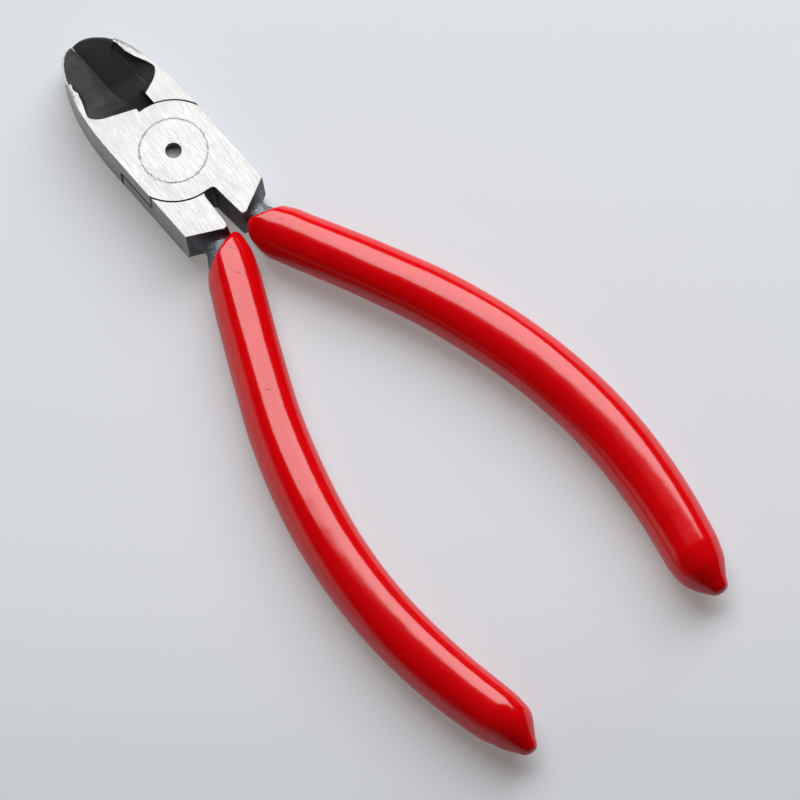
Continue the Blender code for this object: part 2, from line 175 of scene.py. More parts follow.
def turned(name, profile):
    """A disc extruded and scaled through a profile of (radius, height) about the pivot axis."""
    radius, height = profile[0]
    bpy.ops.mesh.primitive_circle_add(vertices=LATHE_STEPS, radius=radius, fill_type="NGON")
    piece = bpy.context.object
    piece.name = name
    edit(piece)
    bpy.ops.transform.translate(value=(0, 0, height))
    for next_radius, next_height in profile[1:]:
        extrude(next_height - height)
        scale = next_radius / radius
        bpy.ops.transform.resize(value=(scale, scale, 1), center_override=(0, 0, next_height))
        radius, height = next_radius, next_height
    close_outward()
    return piece


def block(low, high, planes=()):
    """A box cut back by planes, each a point and the normal of the side that stays."""
    low, high = Vector(low), Vector(high)
    bpy.ops.mesh.primitive_cube_add(size=1, location=(low + high) / 2, scale=high - low)
    piece = bpy.context.object
    edit(piece)
    for point, normal in planes:
        bpy.ops.mesh.select_all(action="SELECT")
        bpy.ops.mesh.bisect(plane_co=point, plane_no=normal, use_fill=True, clear_inner=True)
    bpy.ops.object.mode_set(mode="OBJECT")
    return piece


def modify(piece, kind, **settings):
    """Puts a modifier on the active piece and applies it."""
    bpy.ops.object.modifier_add(type=kind)
    modifier = piece.modifiers[-1]
    for name, value in settings.items():
        setattr(modifier, name, value)
    bpy.ops.object.modifier_apply(modifier=modifier.name)


def combine(piece, other, operation="DIFFERENCE"):
    """Cuts another shape out of a piece or joins it on. The other shape is used up."""
    pick(piece)
    modify(piece, "BOOLEAN", operation=operation, solver="EXACT", object=other)
    bpy.data.objects.remove(other)


def ease(share):
    """A share from 0 to 1 that starts and ends gently."""
    share = min(max(share, 0), 1)
    return share * share * (3 - 2 * share)


def blend(start, end, share):
    """A value a share of the way from start to end."""
    return start + (end - start) * share


def soft_higher(a, b, reach):
    """The higher of two heights, with the crease between them rounded over a reach."""
    near = max(reach - abs(a - b), 0) / reach
    return max(a, b) + near * near * reach / 4


HOLLOW_FILLET = 0.0024
HOLLOW_OVERRUN = 0.0012  # past the parting line and the outline
HOLLOW_LID = 0.0005  # the least height of the grinding wheel's shape
RIM_WALL_SLOPE = 3.0
RIM_WALL_FILLET = 0.0006
RIM_SLANT = 1.06  # the rim's width is measured square to the outline
RIM_REAR = 0.0006  # the strip of face left at the rear corner of the hollow
# The strip of face outside each hollow. A pair gives where a change starts along the jaw, and its length.
RIM = {
    FRONT: {
        "full": 0.0012, "widens": (0.0150, 0.004),
        "thinned": 0.0005, "thins": (0.0207, 0.0012),
        "chip": 0.0002, "grain": 1100, "seed": 3.0, "chips": (0.019, 0.002),
        "drop": 0.0055, "ends": (0.0230, 0.0020),
    },
    REAR: {
        "full": 0.00128, "widens": (0.0158, 0.0045),
        "thinned": 0.0007, "thins": (0.0212, 0.0034),
        "chip": 0.00014, "grain": 1400, "seed": 7.0, "chips": (0.0215, 0.002),
        "drop": 0.0070, "ends": (0.0248, 0.0016),
    },
}
STONE_MARK_OUT = 0.0050  # where the grinding wheel's edge left a step in the right jaw's facet
STONE_MARK_REAR = 0.0150
STONE_MARK_DEPTH = 0.00016
STONE_MARK_STEP = 0.0002
STONE_MARK_FADE = 0.001


def nose_edge(y):
    """Half width of the closed jaws at a place along them."""
    along = min(max((y - NOSE_START) / NOSE_LENGTH, 0), 1)
    return HALF_WIDTH * math.sqrt(1 - along * along)


def rim_width(y, side):
    """Strip of face between the hollow and the outline, chipped where it ends short of the tip.
    Below zero the hollow runs out through the outline."""
    rim = RIM[side]
    changes = (rim["widens"], rim["thins"], rim["chips"], rim["ends"])
    widened, thinned, chipped, ended = (ease((y - start) / length) for start, length in changes)
    width = blend(RIM_REAR, rim["full"], widened) - rim["thinned"] * thinned
    chip = rim["chip"] * noise.noise((y * rim["grain"], rim["seed"], 0)) * chipped
    return width + chip - rim["drop"] * ended


def hollow_floor(out, y, side):
    """Height of a jaw's hollow at a distance out from the parting line: facet, rear wall and rim wall."""
    facet = EDGE_HEIGHT + FACET_SLOPE * out
    if side == REAR:
        mark = ease((STONE_MARK_OUT - out) / STONE_MARK_STEP)
        mark *= ease((y - STONE_MARK_REAR) / STONE_MARK_FADE)
        facet -= STONE_MARK_DEPTH * mark * ease(out / STONE_MARK_OUT)
    rear = EDGE_HEIGHT + REAR_RISE * (EDGE_REAR - y + REAR_SWEEP * out)
    wall = HEAD_THICKNESS + RIM_WALL_SLOPE * (out - nose_edge(y) + RIM_SLANT * rim_width(y, side))
    return soft_higher(soft_higher(facet, rear, HOLLOW_FILLET), wall, RIM_WALL_FILLET)


def jaw_hollow(side):
    """The grinding wheel's shape: a grid sunk to the hollow's floor and extruded up out of the jaw."""
    bpy.ops.mesh.primitive_grid_add(x_subdivisions=60, y_subdivisions=120, size=1)
    piece = bpy.context.object
    edit(piece)
    extrude(1)
    bpy.ops.object.mode_set(mode="OBJECT")
    top = HEAD_THICKNESS + OVERCUT
    for vertex in piece.data.vertices:
        out = blend(-HOLLOW_OVERRUN, HALF_WIDTH + HOLLOW_OVERRUN, vertex.co.x + 0.5)
        y = blend(NOSE_START, JAW_LENGTH + HOLLOW_OVERRUN, vertex.co.y + 0.5)
        height = min(hollow_floor(out, y, side), top - HOLLOW_LID)
        vertex.co = (-side * out, y, top if vertex.co.z > 0.5 else height)
    edit(piece)
    close_outward()
    return piece


HANDLE_ROOT = (0.0049, -0.0199)  # the mouth of the coat
HANDLE_SPLAY = math.radians(24)
HANDLE_STRAIGHT = 0.0318
HANDLE_BEND_RADIUS = 0.1071
HANDLE_TOE_IN = math.radians(15)
DRIP_TURN_RADIUS = 0.0140
DRIP_STRAIGHT = 0.0058
HANDLE_BEND = HANDLE_BEND_RADIUS * (HANDLE_SPLAY + HANDLE_TOE_IN)
DRIP_TURN = DRIP_TURN_RADIUS * HANDLE_TOE_IN
HANDLE_LENGTH = HANDLE_STRAIGHT + HANDLE_BEND + DRIP_TURN + DRIP_STRAIGHT
CORE_LENGTH = HANDLE_LENGTH - 0.0105
NECK_WIDTH = 0.0052
NECK_HEIGHT = 0.0066
NECK_WAIST = 0.0016  # the neck is thinnest this far ahead of the mouth
NECK_RUN = 0.010
NECK_ROOT = 0.0052
NECK_FLARE = (-0.0012, -0.0028)
NECK_SWEEP = (0.0005, -0.0028)  # the outer side sweeps out further, to the tang's corner
NECK_SWEEP_WIDTH = 0.0026
NECK_FLARE_CURVE = 2.4
NECK_ROOT_WIDTH = 0.0048  # half width and half height where the neck meets the tang
NECK_ROOT_HEIGHT = 0.0053
NECK_ROOT_SQUARENESS = 5  # 2 is round
NECK_TRIM = 0.0012  # the slot's wall goes on along the neck this far past the mouth of the coat
SLOT_WALL_INSET = 0.0001  # of the neck's flat side
CORE_RADII = (0.00375, 0.00420, 0.00400)
CORE_SWELL = (0.016, 0.058)  # from the first radius to the second
CORE_TAPER = (0.072, 0.105)  # from the second to the third
RING_POINTS = 56
# Rings along the core, closest together where the neck flares: first place, step and count.
NECK_RINGS = ((-0.0034, 0.0002, 20), (0.0008, 0.0012, 9))
CORE_REST, CORE_REST_RINGS = 0.014, 30  # from here to its end they are evenly spaced


def handle_line(along):
    """Point and angle off -Y of the handle's centre line: straight, long bend, turn back and drip."""
    x, y = HANDLE_ROOT
    angle = HANDLE_SPLAY
    run = min(along, HANDLE_STRAIGHT)
    x, y = x + run * math.sin(angle), y - run * math.cos(angle)
    along -= HANDLE_STRAIGHT
    for length, radius in ((HANDLE_BEND, HANDLE_BEND_RADIUS), (DRIP_TURN, -DRIP_TURN_RADIUS)):
        turned_to = angle - min(max(along, 0), length) / radius
        x += radius * (math.cos(turned_to) - math.cos(angle))
        y += radius * (math.sin(turned_to) - math.sin(angle))
        angle = turned_to
        along -= length
    run = max(along, 0)
    return x + run * math.sin(angle), y - run * math.cos(angle), angle


def beside_line(side, along, across, up):
    """A place to one side of the handle's centre line and above it."""
    x, y, angle = handle_line(along)
    return side * (x + across * math.cos(angle)), y + across * math.sin(angle), MID_HEIGHT + up


def core_radius(along):
    """Radius of the round core, which swells in the palm."""
    front, middle, rear = CORE_RADII
    radius = blend(front, middle, ease((along - CORE_SWELL[0]) / (CORE_SWELL[1] - CORE_SWELL[0])))
    return blend(radius, rear, ease((along - CORE_TAPER[0]) / (CORE_TAPER[1] - CORE_TAPER[0])))


def core_section(along):
    """Half width and half height of the steel: an oval neck that swells to the round core."""
    full = math.sin(min(max((along + NECK_WAIST) / NECK_RUN, 0), 1) * math.pi / 2)
    radius = core_radius(along)
    return blend(NECK_WIDTH / 2, radius, full), blend(NECK_HEIGHT / 2, radius, full)


def core_ring(side, along):
    """Points across the core's centre line. At its root the neck flares out into the tang, square above,
    and round below on its outer side, which sweeps to the tang's corner."""
    width, height = core_section(along)
    flare, sweep = (
        min(max((along - start) / (end - start), 0), 1) ** NECK_FLARE_CURVE
        for start, end in (NECK_FLARE, NECK_SWEEP)
    )
    root_height = blend(height, NECK_ROOT_HEIGHT, flare)
    points = []
    for i in range(RING_POINTS):
        turn = 2 * math.pi * i / RING_POINTS
        outer, above = math.cos(turn) > 0, math.sin(turn) > 0
        if outer:
            half_width = blend(width, width + NECK_SWEEP_WIDTH, sweep)
        else:
            half_width = blend(width, NECK_ROOT_WIDTH, flare)
        half_height, squareness = root_height, blend(2, NECK_ROOT_SQUARENESS, flare)
        if outer and not above:
            half_height, squareness = blend(root_height, height, math.cos(turn)), 2
        across = math.copysign(abs(math.cos(turn)) ** (2 / squareness), math.cos(turn)) * half_width
        up = math.copysign(abs(math.sin(turn)) ** (2 / squareness), math.sin(turn)) * half_height
        points.append(beside_line(side, along, across, up))
    return points


def wrapped(name, rings):
    """A grid wrapped round into a tube through rings of points, its seam merged and its ends filled."""
    bpy.ops.mesh.primitive_grid_add(x_subdivisions=RING_POINTS, y_subdivisions=len(rings) - 1, size=1)
    piece = bpy.context.object
    piece.name = name
    places = [point for ring in rings for point in ring + ring[:1]]
    for vertex, place in zip(piece.data.vertices, places):
        vertex.co = place
    edit(piece)
    bpy.ops.mesh.remove_doubles(threshold=1e-7)
    bpy.ops.mesh.select_all(action="SELECT")
    bpy.ops.mesh.fill_holes(sides=0)
    close_outward()
    return piece


def handle_core(side):
    """The neck and the steel inside the coat, cut flat along the slot's wall."""
    stations = [-NECK_ROOT, -0.0040]
    stations += [first + step * i for first, step, count in NECK_RINGS for i in range(count)]
    stations += [blend(CORE_REST, CORE_LENGTH, i / CORE_REST_RINGS) for i in range(CORE_REST_RINGS + 1)]
    core = wrapped("core", [core_ring(side, along) for along in stations])
    taper = (SLOT_MOUTH - SLOT_WIDTH) / 2 / (-TANG_INNER - BOSS_RADIUS)
    wall_x = SLOT_WIDTH / 2 + SLOT_WALL_INSET
    low = (-HALF_WIDTH, HANDLE_ROOT[1] - NECK_TRIM, -OVERCUT)
    high = (HALF_WIDTH, HANDLE_ROOT[1] + NECK_ROOT + OVERCUT, HEAD_THICKNESS + OVERCUT)
    combine(core, block(low, high, [((side * wall_x, -BOSS_RADIUS, 0), (-side, -taper, 0))]))
    return core


def rivet_profile(clearance, ends):
    """The rivet from its rear end to its front end, with a clearance all round and straight ends."""
    head, shank = RIVET_RADIUS + clearance, RIVET_SHANK + clearance
    low, high = RIVET_HEAD_DEPTH, HEAD_THICKNESS - RIVET_HEAD_DEPTH
    rear, front = [(head, -ends), (head, 0)], [(head, HEAD_THICKNESS), (head, HEAD_THICKNESS + ends)]
    return rear + [(shank, low), (shank, high)] + front


def steel_half(name, side):
    """A plate with its lap recess, rivet bore and ground jaw, joined to its handle core."""
    half = plate(name, [(side * x, y) for x, y in half_outline()], 0, HEAD_THICKNESS)
    edit(half)
    bpy.ops.mesh.bisect(plane_co=(0, 0, TANG_DRAFT_HEIGHT), plane_no=(0, 0, 1))
    bpy.ops.object.mode_set(mode="OBJECT")
    corner = Vector((side * HALF_WIDTH, TANG_OUTER, TANG_DRAFT_HEIGHT))
    for vertex in half.data.vertices:
        if (vertex.co - corner).length < SAME_PLACE:
            vertex.co.y -= TANG_DRAFT
    face = MID_HEIGHT + side * LAP_CLEARANCE / 2
    lap_low, lap_high = sorted((face, MID_HEIGHT - side * (MID_HEIGHT + OVERCUT)))
    radius = BOSS_RADIUS + LAP_SEAM
    combine(half, turned("lap", [(radius, lap_low), (radius, lap_high)]))
    combine(half, turned("bore", rivet_profile(BORE_CLEARANCE, OVERCUT)))
    out, beyond = HALF_WIDTH + OVERCUT, JAW_LENGTH + OVERCUT
    for (start, slope), level, up in ((FRONT_TAPER, HEAD_THICKNESS, 1), (BACK_TAPER, 0, -1)):
        low, high = sorted((MID_HEIGHT, level + up * OVERCUT))
        plane = (0, start, level), (0, math.sin(slope), up * math.cos(slope))
        combine(half, block((-out, start - OVERCUT, low), (out, beyond, high), [plane]))
    low, high = sorted((side * OVERCUT, -side * out))
    bevel = block(
        (low, BOSS_RADIUS, -OVERCUT),
        (high, beyond, EDGE_HEIGHT + OVERCUT),
        [
            ((0, 0, EDGE_HEIGHT), (side * BACK_FACET_SLOPE, 0, -1)),
            ((0, EDGE_REAR, EDGE_HEIGHT), (0, BACK_FACET_REAR_SLOPE, -1)),
        ],
    )
    combine(half, bevel)
    combine(half, jaw_hollow(side))
    low, high = sorted((side * OVERCUT, -side * NOTCH_WIDTH))
    floor_height = MID_HEIGHT - side * NOTCH_FLOOR
    below, above = sorted((floor_height, MID_HEIGHT - side * (MID_HEIGHT + OVERCUT)))
    combine(half, block((low, 0, below), (high, BOSS_RADIUS + LAP_SEAM + NOTCH_LENGTH, above)))
    combine(half, handle_core(side), "UNION")
    return half


GROUND, SIDE, HOLLOW, FORGED, SLOT = range(5)
FRONT_FALL = 0.0015  # the tapered front face of the jaws stays within this of the head's front
BACK_CLIMB = 0.0032  # and the back face within this of the table
BOSS_WALL_REACH = 0.0006
TIP_REACH = 0.001  # the ground sides end this far from the parting line
JAW_REAR = 0.006
FLAT, STEEP, SIDEWAYS = 0.95, 0.1, 0.96  # limits of a face's normal


def finish_of(polygon):
    """Which finish a face of a half has, from its place and the way it faces."""
    x, y, z = polygon.center
    flat, steep = abs(polygon.normal.z) > FLAT, abs(polygon.normal.z) < STEEP
    from_axis = math.hypot(x, y)
    in_notch = abs(x) < NOTCH_WIDTH and 0 < y - BOSS_RADIUS < NOTCH_LENGTH
    if in_notch and abs(z - MID_HEIGHT) < NOTCH_FLOOR + SLACK:
        return HOLLOW
    if flat and y > TANG_INNER:
        outside = z > HEAD_THICKNESS - FRONT_FALL or z < BACK_CLIMB
        if outside or from_axis < BOSS_RADIUS:
            return GROUND
    if steep and abs(polygon.normal.x) < SIDEWAYS and abs(from_axis - BOSS_RADIUS) < BOSS_WALL_REACH:
        return HOLLOW
    if steep and y > TANG_OUTER and abs(x) > max(nose_edge(y) - 2 * SLACK, TIP_REACH):
        return SIDE
    if steep and abs(x) < SLOT_MOUTH and -BOSS_RADIUS > y > TANG_INNER:
        return SLOT
    return HOLLOW if y > JAW_REAR else FORGED


def dress(piece, finishes, chooser=None):
    """Gives a piece its materials, face by face where it has more than one."""
    piece.data.materials.clear()
    for material in finishes:
        piece.data.materials.append(material)
    for polygon in piece.data.polygons:
        polygon.material_index = chooser(polygon) if chooser else 0


def is_cutting(piece, edge):
    """Whether an edge lies on the parting line of the jaws."""
    ends = [piece.data.vertices[i].co for i in edge.vertices]
    return all(abs(end.x) < SLACK and end.y > BOSS_RADIUS for end in ends)


EDGE_BREAK = 0.00007
SHARP_TURN = math.radians(32)
SMOOTH_TURN = math.radians(50)  # across the small bevels


def break_edges(piece, width):
    """A small bevel on every sharp edge but the cutting edges, with flat faces kept flat in the shading."""
    edit(piece)
    bpy.ops.mesh.select_mode(type="EDGE")
    bpy.ops.mesh.select_all(action="DESELECT")
    bpy.ops.mesh.edges_select_sharp(sharpness=SHARP_TURN)
    bpy.ops.object.mode_set(mode="OBJECT")
    weights = piece.data.attributes.new("bevel_weight_edge", "FLOAT", "EDGE")
    for edge in piece.data.edges:
        weights.data[edge.index].value = 1.0 if edge.select and not is_cutting(piece, edge) else 0.0
    edit(piece)
    bpy.ops.mesh.select_mode(type="VERT")
    bpy.ops.object.mode_set(mode="OBJECT")
    bpy.ops.object.shade_smooth_by_angle(angle=SHARP_TURN)
    bevel = {"limit_method": "WEIGHT", "miter_outer": "MITER_ARC", "use_clamp_overlap": False}
    modify(piece, "BEVEL", width=width, segments=2, **bevel)
    bpy.ops.object.shade_smooth_by_angle(angle=SMOOTH_TURN)
    for edge in piece.data.edges:
        edge.use_edge_sharp = edge.use_edge_sharp or is_cutting(piece, edge)
    modify(piece, "WEIGHTED_NORMAL", keep_sharp=True)


def new_material(name):
    """A new material, its node tree and its shader."""
    material = bpy.data.materials.new(name)
    material.use_nodes = True
    return material, material.node_tree, material.node_tree.nodes["Principled BSDF"]


def new_group(name, inputs, outputs):
    """A shader node group with named values in and out."""
    group = bpy.data.node_groups.new(name, "ShaderNodeTree")
    for socket, default in inputs.items():
        made = group.interface.new_socket(socket, in_out="INPUT", socket_type="NodeSocketFloat")
        made.default_value = default
    for socket in outputs:
        group.interface.new_socket(socket, in_out="OUTPUT", socket_type="NodeSocketFloat")
    return group, group.nodes.new("NodeGroupInput"), group.nodes.new("NodeGroupOutput")


def feed(tree, node, sockets):
    """Gives a node's sockets their values, or links from other nodes' outputs."""
    for socket, value in sockets.items():
        if isinstance(value, bpy.types.NodeSocket):
            tree.links.new(value, node.inputs[socket])
        else:
            node.inputs[socket].default_value = value


def add(tree, kind, sockets=None, **settings):
    """A node with its settings, and with its sockets fed."""
    node = tree.nodes.new("ShaderNode" + kind)
    for name, value in settings.items():
        setattr(node, name, value)
    feed(tree, node, sockets or {})
    return node


def ramp(tree, value, low, high, start=0.0, end=1.0):
    """A value mapped smoothly from low..high to start..end."""
    links = {"Value": value, "From Min": low, "From Max": high, "To Min": start, "To Max": end}
    return add(tree, "MapRange", links, interpolation_type="SMOOTHSTEP").outputs["Result"]


def math_node(tree, operation, a, b=0.0):
    """One step of arithmetic."""
    return add(tree, "Math", {0: a, 1: b}, operation=operation).outputs[0]


def times(tree, a, b):
    """Two values multiplied, such as two shares that both have to hold."""
    return math_node(tree, "MULTIPLY", a, b)


def apart(tree, a, b):
    """How far apart two values are."""
    return math_node(tree, "ABSOLUTE", math_node(tree, "SUBTRACT", a, b))


def mix_value(tree, share, a, b):
    """Value a where the share is 0, and b where it is 1."""
    return add(tree, "Mix", {0: share, 2: a, 3: b}).outputs[0]


def mix_colour(tree, share, a, b):
    """Colour a where the share is 0, and b where it is 1."""
    return add(tree, "Mix", {0: share, 6: a, 7: b}, data_type="RGBA").outputs[2]


def tint(tree, colour, share, strength, paint):
    """A colour painted over where a share says, up to a strength."""
    return mix_colour(tree, times(tree, share, strength), colour, paint)


def place_in(tree):
    """Where a point is in the tool's frame."""
    return add(tree, "TexCoord").outputs["Object"]


def split(tree, vector):
    """The X, Y and Z of a vector."""
    return add(tree, "SeparateXYZ", {0: vector}).outputs


def dot(tree, vector, direction):
    """How far a vector reaches along a direction."""
    return add(tree, "VectorMath", {0: vector, 1: direction}, operation="DOT_PRODUCT").outputs["Value"]


def stretched_noise(tree, place, scale, detail):
    """Noise with its own scale along each axis, per metre."""
    moved = add(tree, "VectorMath", {0: place, 1: scale}, operation="MULTIPLY").outputs[0]
    links = {"Vector": moved, "Scale": 1.0, "Detail": detail, "Roughness": 0.5}
    return add(tree, "TexNoise", links).outputs["Fac"]


def even_noise(tree, place, scale, detail):
    """Noise with the same scale along every axis, per metre."""
    return stretched_noise(tree, place, (scale, scale, scale), detail)


# The wheel's marks on ground steel, for every ground face.
grinding, given, result = new_group("grinding_marks", {"Turn": 0.0}, ["Lines", "Scores", "Cloud"])
place = place_in(grinding)
links = {"Vector": place, "Angle": given.outputs["Turn"]}
across = add(grinding, "VectorRotate", links, rotation_type="Z_AXIS").outputs[0]
coarse = stretched_noise(grinding, across, (6400, 260, 6400), 1.0)
fine = stretched_noise(grinding, across, (11500, 480, 11500), 1.0)
lines = ramp(grinding, mix_value(grinding, 0.62, coarse, fine), 0.34, 0.66)
scores = ramp(grinding, stretched_noise(grinding, across, (7200, 900, 7200), 1.0), 0.66, 0.74)
cloud = ramp(grinding, even_noise(grinding, place, 260, 3.0), 0.3, 0.7)
feed(grinding, result, {"Lines": lines, "Scores": scores, "Cloud": cloud})

# Scale and grit on forged steel that no wheel has touched.
scale_skin, given, result = new_group("forged_skin", {"Grain": 2600.0}, ["Mottle", "Grit", "Height"])
place = place_in(scale_skin)
links = {"Vector": place, "Scale": 420.0, "Detail": 4.0, "Roughness": 0.6}
mottle = ramp(scale_skin, add(scale_skin, "TexNoise", links).outputs["Fac"], 0.3, 0.7)
links = {"Vector": place, "Scale": given.outputs["Grain"], "Detail": 3.0, "Roughness": 0.65}
grain = add(scale_skin, "TexNoise", links).outputs["Fac"]
grit = ramp(scale_skin, grain, 0.62, 0.78)
feed(scale_skin, result, {"Mottle": mottle, "Grit": grit, "Height": grain})

# How far in a place on the jaws is from their rounded outline, for the wear along it.
nose_rim, given, result = new_group("nose_rim", {}, ["Inward"])
at = split(nose_rim, place_in(nose_rim))
up_nose = math_node(nose_rim, "DIVIDE", math_node(nose_rim, "SUBTRACT", at["Y"], NOSE_START), NOSE_LENGTH)
inside = math_node(nose_rim, "SUBTRACT", 1.0, times(nose_rim, up_nose, up_nose))
edge_x = math_node(nose_rim, "SQRT", math_node(nose_rim, "MAXIMUM", inside, 0.0))
edge_x = times(nose_rim, edge_x, HALF_WIDTH)
inward = math_node(nose_rim, "SUBTRACT", edge_x, math_node(nose_rim, "ABSOLUTE", at["X"]))
feed(nose_rim, result, {"Inward": inward})


def use(tree, group, **values):
    """A group in a material, with its values."""
    return add(tree, "Group", values, node_tree=group).outputs


def bump(tree, shader, height, depth, normal=None):
    """Relief of a height from 0 to 1, of a depth in metres."""
    links = {"Height": height, "Distance": depth, "Strength": 1.0}
    if normal:
        links["Normal"] = normal
    made = add(tree, "Bump", links).outputs["Normal"]
    feed(tree, shader, {"Normal": made})
    return made


GRINDING_TURN = math.radians(4)  # the belt ran this far off the tool's length
GROUND_LINES = (0.466, 0.463, 0.456, 1), (0.636, 0.633, 0.625, 1)
GROUND_SCORE = (0.20, 0.195, 0.19, 1)
GROUND_SMUDGE = (0.17, 0.16, 0.15, 1)
GROUND_SPECK = (0.08, 0.075, 0.07, 1)
JAW_FACE_DARKER = (0.43, 0.427, 0.42, 1)  # the face of the jaws
RIVET_RING = (0.105, 0.088, 0.072, 1)
JOINT_AND_SHADE_BLACK = (0.008, 0.008, 0.009, 1)
TIP_DIRT = (0.13, 0.125, 0.12, 1)
TIP_WEAR = (0.13, 0.128, 0.125, 1)

ground_steel, tree, shader = new_material("ground_steel")
marks = use(tree, grinding, Turn=GRINDING_TURN)
place = place_in(tree)
flat_place = add(tree, "VectorMath", {0: place, 1: (1, 1, 0)}, operation="MULTIPLY").outputs[0]
from_axis = add(tree, "VectorMath", {0: flat_place}, operation="LENGTH").outputs["Value"]
wander = times(tree, even_noise(tree, place, 1500, 2.0), 0.0003)
off_ring = apart(tree, math_node(tree, "ADD", from_axis, wander), RIVET_RADIUS + 0.00015)
broken = ramp(tree, even_noise(tree, place, 640, 3.0), 0.34, 0.56, 0.45, 1)
across_tool, along_tool, height_up = split(tree, place)
clear_side = ramp(tree, across_tool, -0.003, 0.0045, 1, 0.8)
broken = times(tree, broken, clear_side)
dots = ramp(tree, even_noise(tree, place, 4200, 1.0), 0.50, 0.60)
dots = times(tree, ramp(tree, off_ring, 0.00010, 0.00034, 1, 0), dots)
ring = math_node(tree, "MAXIMUM", ramp(tree, off_ring, 0.00005, 0.00016, 0.8, 0), dots)
ring = times(tree, ring, broken)
smudge_near = times(tree, ramp(tree, off_ring, 0.0001, 0.0011, 1, 0), clear_side)
blots = ramp(tree, stretched_noise(tree, place, (2100, 1500, 2100), 3.0), 0.55, 0.68)
smudge = times(tree, smudge_near, blots)
speck = ramp(tree, even_noise(tree, place, 2300, 2.0), 0.74, 0.79)
colour = mix_colour(tree, marks["Lines"], *GROUND_LINES)
colour = tint(tree, colour, marks["Scores"], 0.4, GROUND_SCORE)
colour = tint(tree, colour, smudge, 0.4, GROUND_SMUDGE)
colour = tint(tree, colour, speck, 0.6, GROUND_SPECK)
colour = tint(tree, colour, ring, 0.95, RIVET_RING)
# The lap shows as a black line on the quarters where the boss stands against the other half.
over_joint = math_node(tree, "SUBTRACT", height_up, MID_HEIGHT)
quarter = times(tree, times(tree, across_tool, along_tool), over_joint)
off_lap = apart(tree, from_axis, BOSS_RADIUS + LAP_SEAM / 2)
lap_line = ramp(tree, off_lap, 0.00013, 0.00020, 1, 0)
lap_line = times(tree, lap_line, math_node(tree, "GREATER_THAN", quarter, 0.0))
colour = mix_colour(tree, lap_line, colour, JOINT_AND_SHADE_BLACK)
# The jaws' face is painted darker, and dirty and worn towards the tip.
colour = mix_colour(tree, ramp(tree, along_tool, 0.002, 0.012, 0, 0.35), colour, JAW_FACE_DARKER)
dirt = ramp(tree, stretched_noise(tree, place, (2600, 1500, 2600), 2.0), 0.50, 0.66)
dirt = times(tree, dirt, ramp(tree, along_tool, 0.0185, 0.0225))
colour = tint(tree, colour, dirt, 0.6, TIP_DIRT)
ragged = times(tree, even_noise(tree, place, 2200, 3.0), 0.0010)
rubbed = math_node(tree, "ADD", use(tree, nose_rim)["Inward"], ragged)
rubbed = ramp(tree, rubbed, 0.0006, 0.0013, 1, 0)
rubbed = times(tree, rubbed, ramp(tree, along_tool, 0.0170, 0.0215))
colour = tint(tree, colour, rubbed, 0.8, TIP_WEAR)
roughness = ramp(tree, marks["Cloud"], 0, 1, 0.57, 0.59)
feed(tree, shader, {"Base Color": colour, "Roughness": roughness, "Metallic": 1.0})
bump(tree, shader, marks["Lines"], 0.000004)

SIDE_LINES = (0.30, 0.30, 0.30, 1), (0.38, 0.38, 0.38, 1)
SIDE_SCORE = (0.12, 0.12, 0.12, 1)
SEAM_BLACK = (0.012, 0.011, 0.010, 1)

side_steel, tree, shader = new_material("side_steel")
marks = use(tree, grinding, Turn=0.0)
colour = mix_colour(tree, marks["Lines"], *SIDE_LINES)
colour = tint(tree, colour, marks["Scores"], 0.4, SIDE_SCORE)
at = split(tree, place_in(tree))
off_joint = apart(tree, at["Z"], MID_HEIGHT)
in_lap = ramp(tree, math_node(tree, "ABSOLUTE", at["Y"]), LAP_SHOULDER, LAP_SHOULDER + 0.0004, 1, 0)
joint_line = times(tree, ramp(tree, off_joint, 0.00048, 0.00062, 1, 0), in_lap)
colour = mix_colour(tree, joint_line, colour, SEAM_BLACK)
# Seen from either side, the joint steps down from the front: the far end of its line is open above, and
# the near end below.
turned_y = times(tree, at["Y"], math_node(tree, "SIGN", at["X"]))
over_joint = math_node(tree, "SUBTRACT", at["Z"], MID_HEIGHT)
turned_y = times(tree, turned_y, math_node(tree, "SIGN", over_joint))
off_seam = apart(tree, turned_y, LAP_SHOULDER + 0.00034)
seam = ramp(tree, off_seam, 0.00032, 0.00046, 1, 0)
seam = times(tree, seam, ramp(tree, at["Z"], MID_HEIGHT, MID_HEIGHT + 0.0005, 1, 0.6))
colour = mix_colour(tree, seam, colour, SEAM_BLACK)
black = math_node(tree, "MAXIMUM", joint_line, seam)
roughness = mix_value(tree, black, ramp(tree, marks["Cloud"], 0, 1, 0.38, 0.48), 1.0)
metallic = math_node(tree, "SUBTRACT", 1.0, black)
feed(tree, shader, {"Base Color": colour, "Roughness": roughness, "Metallic": metallic})
bump(tree, shader, marks["Lines"], 0.000003)

LEFT_SCALE = (0.023, 0.022, 0.023, 1), (0.037, 0.039, 0.040, 1)
LEFT_BROWN = (0.036, 0.031, 0.030, 1)
RIGHT_SCALE_SHADED = (0.011, 0.012, 0.0145, 1), (0.030, 0.0325, 0.037, 1)
HOLLOW_GRIT = (0.13, 0.135, 0.15, 1)
STEP_HIGHLIGHT = (0.13, 0.13, 0.135, 1)
BARE_STEEL = (0.62, 0.62, 0.61, 1)

hollow_steel, tree, shader = new_material("hollow_steel")
skin = use(tree, scale_skin, Grain=3600.0)
place = place_in(tree)
at = split(tree, place)
tints = ramp(tree, even_noise(tree, place, 190, 2.0), 0.38, 0.62)
left_scale = mix_colour(tree, skin["Mottle"], *LEFT_SCALE)
left_scale = tint(tree, left_scale, tints, 0.5, LEFT_BROWN)
# The right hollow is painted darker than the left: painted shade on the facet that faces away from the
# light. It is painted lighter towards the tip.
right_scale_shaded = mix_colour(tree, ramp(tree, at["Y"], 0.0145, 0.0215), *RIGHT_SCALE_SHADED)
colour = mix_colour(tree, ramp(tree, at["X"], -0.0002, 0.0002), left_scale, right_scale_shaded)
colour = tint(tree, colour, skin["Grit"], 0.8, HOLLOW_GRIT)
